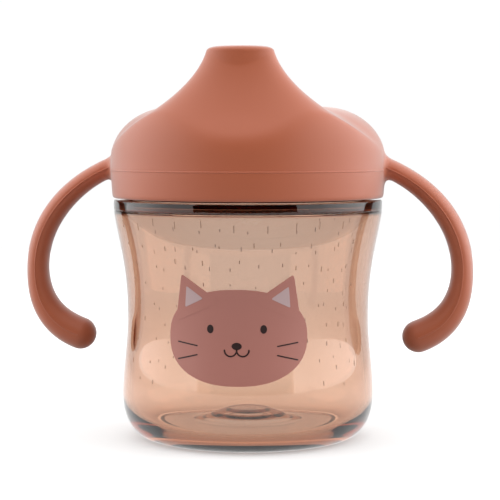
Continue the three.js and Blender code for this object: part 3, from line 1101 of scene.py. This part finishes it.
def oval(cx, cz, rx, rz, count=40, power=2.0):
    points = []
    for angle in around(count):
        c, s = polar(1, angle)
        x = rx * math.copysign(abs(c) ** (2 / power), c)
        z = rz * math.copysign(abs(s) ** (2 / power), s)
        points.append((cx + x, cz + z))
    return points


def stroke(points, width):
    # outline of a line with round ends
    left, right = [], []
    count, facets = len(points), printShape["strokeEnd"]
    for i, (x, z) in enumerate(points):
        before, after = points[max(i - 1, 0)], points[min(i + 1, count - 1)]
        dx, dz = after[0] - before[0], after[1] - before[1]
        reach = math.hypot(dx, dz)
        nx, nz = -dz / reach * width / 2, dx / reach * width / 2
        left.append((x + nx, z + nz))
        right.append((x - nx, z - nz))

    def cap(centre, start):
        first = math.atan2(start[1] - centre[1], start[0] - centre[0])
        turns = [first - math.pi * k / facets for k in range(1, facets)]
        return [(centre[0] + x, centre[1] + z) for x, z in (polar(width / 2, t) for t in turns)]

    return left + cap(points[-1], left[-1]) + right[::-1] + cap(points[0], right[0])


def arcLine(cx, cz, radius, first, last, count=12):
    turns = [math.radians(lerp(first, last, i / count)) for i in range(count + 1)]
    return [(cx + x, cz + z) for x, z in (polar(radius, t) for t in turns)]


inkLook = {
    "grainSize": 2400,
    "grainDepth": 0.12,
    "drift": 0.03,
    "roughness": 0.42,
    "spread": 0.06,
    "ior": 1.5,
    "specular": 0.5,
}


def inkMaterial(name, color):
    return grainedMaterial(name, {"color": color, **inkLook})


# across and up from the middle of the head; sizes are half widths and half heights
faceShape = {
    "ear": ((17.4, 4), (15.6, 17.6), (4.6, 10)),
    "earRound": 2.0,
    "innerEar": ((14.6, 8.2), (14.2, 14.2), (9.4, 10.8)),
    "innerEarRound": 1.0,
    "eye": (7.4, 2.4, 0.9, 1.2),
    "nose": (0, -2.3, 1.4, 1.0),
    "smile": (1.7, -3.4, 1.7),
    "smileWidth": 0.42,
    "whiskers": (((11.2, -2.4), (16.6, -1.5)), ((11.2, -4.9), (16.6, -6.3))),
    "whiskerWidth": 0.36,
    "furColor": srgb(200, 133, 121),
    "innerColor": srgb(214, 184, 184),
    "darkColor": srgb(52, 30, 28),
}


def buildFace():
    # a plain, symmetrical animal face
    p, f = printShape, faceShape
    fur = inkMaterial("inkDustyPink", f["furColor"])
    inner = inkMaterial("inkPalePink", f["innerColor"])
    dark = inkMaterial("inkDarkBrown", f["darkColor"])
    zc = p["centreZ"]
    head = oval(0, zc, p["headHalfWidth"], p["headHalfHeight"], p["headSides"],
                p["headSquareness"])
    inkPatch("faceHead", head, 0, fur)

    def placed(points, side):
        return [(side * x, zc + z) for x, z in points]

    for side, word in ((-1, "Left"), (1, "Right")):
        x, z, *size = f["eye"]
        mouthX, mouthZ, mouthRadius = f["smile"]
        smile = arcLine(side * mouthX, zc + mouthZ, mouthRadius, 180, 360)
        inkPatch("faceEar" + word, roundedOutline(placed(f["ear"], side), f["earRound"]), 1, fur)
        small = roundedOutline(placed(f["innerEar"], side), f["innerEarRound"])
        inkPatch("faceEarInner" + word, small, 2, inner)
        inkPatch("faceEye" + word, oval(side * x, zc + z, *size), 1, dark)
        inkPatch("faceMouth" + word, stroke(smile, f["smileWidth"]), 1, dark)
        for row, line in enumerate(f["whiskers"]):
            whisker = stroke(placed(line, side), f["whiskerWidth"])
            inkPatch(f"faceWhisker{word}{row}", whisker, 1, dark)
    x, z, *size = f["nose"]
    inkPatch("faceNose", oval(x, zc + z, *size), 1, dark)


dashes = {
    "color": srgb(188, 150, 128),
    "seed": 7,
    "rowStep": 5.6,
    "spacing": 8.4,
    "sideGap": 0.88,       # sine of the angle that the print stops at, left and right
    "low": 15,
    "high": 64.3,
    "width": 0.28,
    "shortest": 0.7,
    "longest": 1.5,
    "topLength": 2.1,
    "turn": 0.035,         # how far each dash strays, round the cup in radians and up in mm
    "rise": 1.2,
    "faceGap": (20.6, 15, 19),   # half width, under and over the face's middle that stay clear
}


def buildDashes():
    d = dashes
    draw = random.Random(d["seed"])
    verts, faces = [], []

    def dash(angle, z, length):
        half = d["width"] / 2
        tip, side = length / 2, length / 2 - half
        outline = [(-half / 2, -tip), (half / 2, -tip), (half, -side), (half, side),
                   (half / 2, tip), (-half / 2, tip), (-half, side), (-half, -side)]
        start = len(verts)
        for height in (printShape["lift"] + printShape["ink"], printShape["lift"]):
            for across, up in outline:
                radius = wallRadius(z + up) + height
                turn = angle + across / radius
                verts.append((radius * math.sin(turn), -radius * math.cos(turn), z + up))
        count = len(outline)
        front = list(range(start, start + count))
        back = list(range(start + count, start + 2 * count))
        faces.append(front)
        faces.append(back[::-1])
        for i in range(count):
            j = (i + 1) % count
            faces.append([front[j], front[i], back[i], back[j]])

    halfWidth, under, over = d["faceGap"]
    rows = int((d["high"] - d["low"]) / d["rowStep"])
    for row in range(rows + 1):
        z = d["high"] - row * d["rowStep"]
        count = int(2 * math.pi * wallRadius(z) / d["spacing"])
        for i in range(count):
            angle = 2 * math.pi * (i + 0.5 * (row % 2)) / count + draw.uniform(-d["turn"], d["turn"])
            height = z + draw.uniform(-d["rise"], d["rise"])
            length = d["topLength"] if row == 0 else draw.uniform(d["shortest"], d["longest"])
            x = wallRadius(height) * math.sin(angle)
            overFace = height - printShape["centreZ"]
            if abs(math.sin(angle)) > d["sideGap"]:
                continue
            if math.cos(angle) > 0 and abs(x) < halfWidth and -under < overFace < over:
                continue
            dash(angle, height, length)
    rain = makeMesh("rainDashes", verts, faces)
    finishPiece(rain, "cup", inkMaterial("inkGreyBrown", d["color"]), sharpAngle=30)


studio = {
    "cameraDistance": 500,
    "cameraHeight": 89,
    "cameraAzimuth": 5,
    "aim": (0.6, 55.2),          # across and up
    "lens": 121.7,
    "sensor": 36,
    "nearClip": 0.01,
    "behind": 1.0,               # brightness of the room behind, in front and overhead
    "seen": 1.02,                # the backdrop as the camera sees it
    "front": 0.02,
    "overhead": 1.2,
    "frontToBehind": (-0.55, 0.1),   # directions that the room brightens between
    "lowToHigh": (0.35, 0.9),
    "throughCup": 0.68,          # share of it that shows through the clear wall
    "floorGlow": 0.35,           # as the camera sees it
    "floorMirrored": 1.7,        # as the clear cup mirrors it, times what shows through the cup
    "floorNear": (0.6, 0.12),    # as seen through the cup: brightness and distance in metres
    "floorFar": (0.32, 0.42),
    "floorColor": 0.42,
    "floorSeen": 0.8,            # how pale the floor looks from the camera
    "floorRoughness": 0.8,
    "floorSpecular": 0.1,
    "floorReach": 800,
    # side panels: middle azimuth, width in degrees, brightness
    "panels": {"panelLeft": (-80, 78, 1.4), "panelRight": (90, 88, 1.6)},
    "panelDistance": 1.0,
    "panelHeight": 1.3,
    "panelMiddle": 0.35,
}


def softRange(tree, fromMin, fromMax, toMin, toMax):
    return addNode(tree, "ShaderNodeMapRange", {
        "From Min": fromMin, "From Max": fromMax, "To Min": toMin, "To Max": toMax},
        interpolation_type="SMOOTHSTEP")


def buildCamera():
    s = studio
    turn = math.radians(s["cameraAzimuth"])
    across = Vector((math.cos(turn), math.sin(turn), 0))
    back = Vector((math.sin(turn), -math.cos(turn), 0))
    place = (back * s["cameraDistance"] + Vector((0, 0, s["cameraHeight"]))) * mm
    target = (across * s["aim"][0] + Vector((0, 0, s["aim"][1]))) * mm
    camera = bpy.data.objects.new("camera", bpy.data.cameras.new("camera"))
    camera.data.lens = s["lens"]
    camera.data.sensor_width = s["sensor"]
    camera.data.clip_start = s["nearClip"]
    camera.location = place
    camera.rotation_euler = (target - place).to_track_quat("-Z", "Y").to_euler()
    bpy.context.scene.collection.objects.link(camera)
    bpy.context.scene.camera = camera


def buildRoom():
    # white room behind, dark room in front, brighter overhead; the camera itself sees plain white
    s = studio
    world = bpy.data.worlds.new("studio")
    world.use_nodes = True
    bpy.context.scene.world = world
    tree = world.node_tree
    tree.nodes.clear()
    output = addNode(tree, "ShaderNodeOutputWorld")
    seen = addNode(tree, "ShaderNodeBackground", {"Color": (1, 1, 1, 1), "Strength": s["seen"]})
    lit = addNode(tree, "ShaderNodeBackground", {"Color": (1, 1, 1, 1)})
    mix = addNode(tree, "ShaderNodeMixShader")
    path = addNode(tree, "ShaderNodeLightPath")
    place = addNode(tree, "ShaderNodeTexCoord")
    split = addNode(tree, "ShaderNodeSeparateXYZ")
    along = softRange(tree, *s["frontToBehind"], s["front"], s["behind"])
    above = softRange(tree, *s["lowToHigh"], 0, s["overhead"])
    most = addNode(tree, "ShaderNodeMath", operation="MAXIMUM")
    dim = addNode(tree, "ShaderNodeMapRange", {"To Min": 1, "To Max": s["throughCup"]})
    level = addNode(tree, "ShaderNodeMath", operation="MULTIPLY")
    connect(
        tree,
        (place, "Generated", split, "Vector"),
        (split, "Y", along, "Value"),
        (split, "Z", above, "Value"),
        (along, "Result", most, 0),
        (above, "Result", most, 1),
        (path, "Is Transmission Ray", dim, "Value"),
        (most, "Value", level, 0),
        (dim, "Result", level, 1),
        (level, "Value", lit, "Strength"),
        (path, "Is Camera Ray", mix, "Fac"),
        (lit, "Background", mix, 1),
        (seen, "Background", mix, 2),
        (mix, "Shader", output, "Surface"))


def buildFloor():
    # pale floor, lit from below where it is looked at directly or through the clear cup
    s = studio
    reach = s["floorReach"]
    corners = [(-reach, -reach, 0), (reach, -reach, 0), (reach, reach, 0), (-reach, reach, 0)]
    floor = makeMesh("floor", corners, [[0, 1, 2, 3]])
    material, tree, shader, output = newMaterial("paleFloor")
    setInputs(shader, {
        "Roughness": s["floorRoughness"], "Specular IOR Level": s["floorSpecular"],
        "Emission Color": (1, 1, 1, 1)})
    path = addNode(tree, "ShaderNodeLightPath")
    pale = addNode(tree, "ShaderNodeMapRange", {"To Min": s["floorColor"], "To Max": s["floorSeen"]})
    place = addNode(tree, "ShaderNodeTexCoord")
    away = addNode(tree, "ShaderNodeVectorMath", operation="LENGTH")
    near, far = s["floorNear"], s["floorFar"]
    fade = softRange(tree, near[1], far[1], near[0], far[0])
    seen = addNode(tree, "ShaderNodeMath", {1: s["floorGlow"]}, operation="MULTIPLY")
    sharp = addNode(tree, "ShaderNodeMath", operation="MULTIPLY")
    share = addNode(tree, "ShaderNodeMath", {1: s["floorMirrored"]}, operation="MULTIPLY_ADD")
    glow = addNode(tree, "ShaderNodeMath", operation="MULTIPLY_ADD")
    connect(
        tree,
        (path, "Is Camera Ray", pale, "Value"),
        (pale, "Result", shader, "Base Color"),
        (place, "Object", away, 0),
        (away, "Value", fade, "Value"),
        (path, "Is Camera Ray", seen, 0),
        (path, "Is Singular Ray", sharp, 0),
        (path, "Is Reflection Ray", sharp, 1),
        (sharp, "Value", share, 0),
        (path, "Is Transmission Ray", share, 2),
        (share, "Value", glow, 0),
        (fade, "Result", glow, 1),
        (seen, "Value", glow, 2),
        (glow, "Value", shader, "Emission Strength"))
    floor.data.materials.append(material)


def buildPanels():
    s = studio
    for name, (azimuth, spread, brightness) in s["panels"].items():
        data = bpy.data.lights.new(name, "AREA")
        data.shape = "RECTANGLE"
        data.size = 2 * s["panelDistance"] * math.tan(math.radians(spread / 2))
        data.size_y = s["panelHeight"]
        data.energy = brightness * math.pi * data.size * data.size_y
        lamp = bpy.data.objects.new(name, data)
        angle = math.radians(azimuth)
        out = s["panelDistance"]
        lamp.location = (math.sin(angle) * out, -math.cos(angle) * out, s["panelMiddle"])
        toward = Vector((-lamp.location.x, -lamp.location.y, 0))
        lamp.rotation_euler = toward.to_track_quat("-Z", "Y").to_euler()
        bpy.context.scene.collection.objects.link(lamp)


def buildStudio():
    buildCamera()
    buildRoom()
    buildFloor()
    buildPanels()
    bpy.context.scene.view_settings.view_transform = "Standard"


buildStudio()
print("studio ready")
lidPlastic = grainedMaterial("lidPlastic", lidLook)
silicone = grainedMaterial("softSilicone", siliconeLook)
buildCup(clearMaterial())
print("cup ready")
buildLid(lidPlastic)
buildPartingLine(lidPlastic)
print("lid ready")
buildSeal(silicone)
buildValve(silicone)
buildLips(silicone)
print("seal and valve ready")
buildFace()
buildDashes()
print("print ready")
